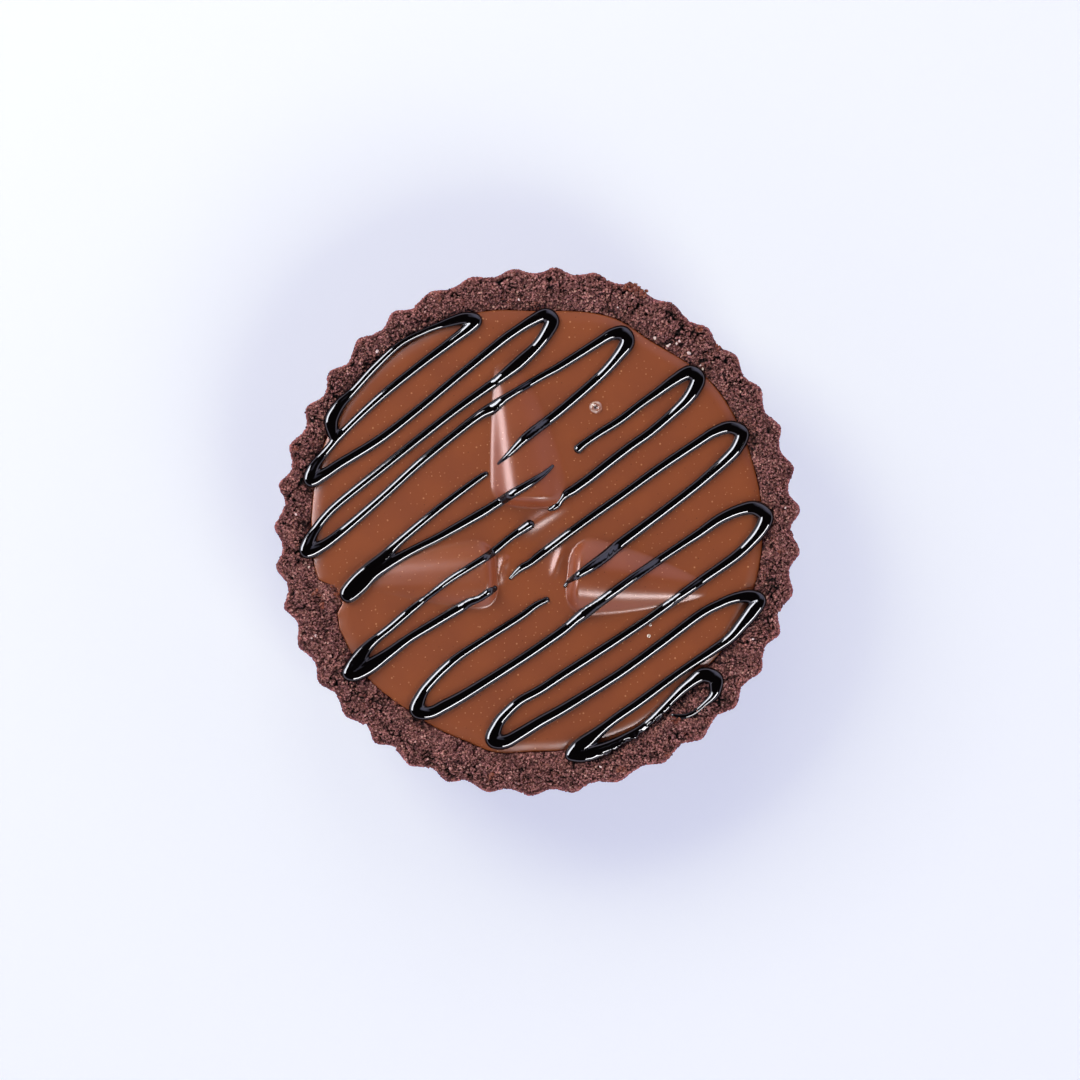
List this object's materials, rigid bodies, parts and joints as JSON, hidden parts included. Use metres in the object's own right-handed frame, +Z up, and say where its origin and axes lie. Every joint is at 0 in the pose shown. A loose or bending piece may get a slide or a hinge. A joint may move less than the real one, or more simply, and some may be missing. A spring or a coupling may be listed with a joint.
{
  "type": "chocolate tart",
  "caption": "Round fluted cocoa shortcrust tartlet filled with milk chocolate ganache, with soft raised swooshes and a dark chocolate syrup drizzle.",
  "frame": {"origin": "middle of the tartlet's outline, on the plane that it stands on", "axes": "+Z up out of the filling; +Y towards the swoosh that runs away from the viewer, +X to the viewer's right"},
  "size_m": [0.1004, 0.1008, 0.0229],
  "materials": {
    "shortcrust": "baked cocoa shortcrust, dark brown, matt and crumbly",
    "ganache": "set milk chocolate ganache, satin gloss",
    "syrup": "thick dark chocolate syrup, nearly black and wet-looking"
  },
  "bodies": {
    "root": {"crust": "shortcrust", "filling": "ganache"}
  },
  "joints": []
}
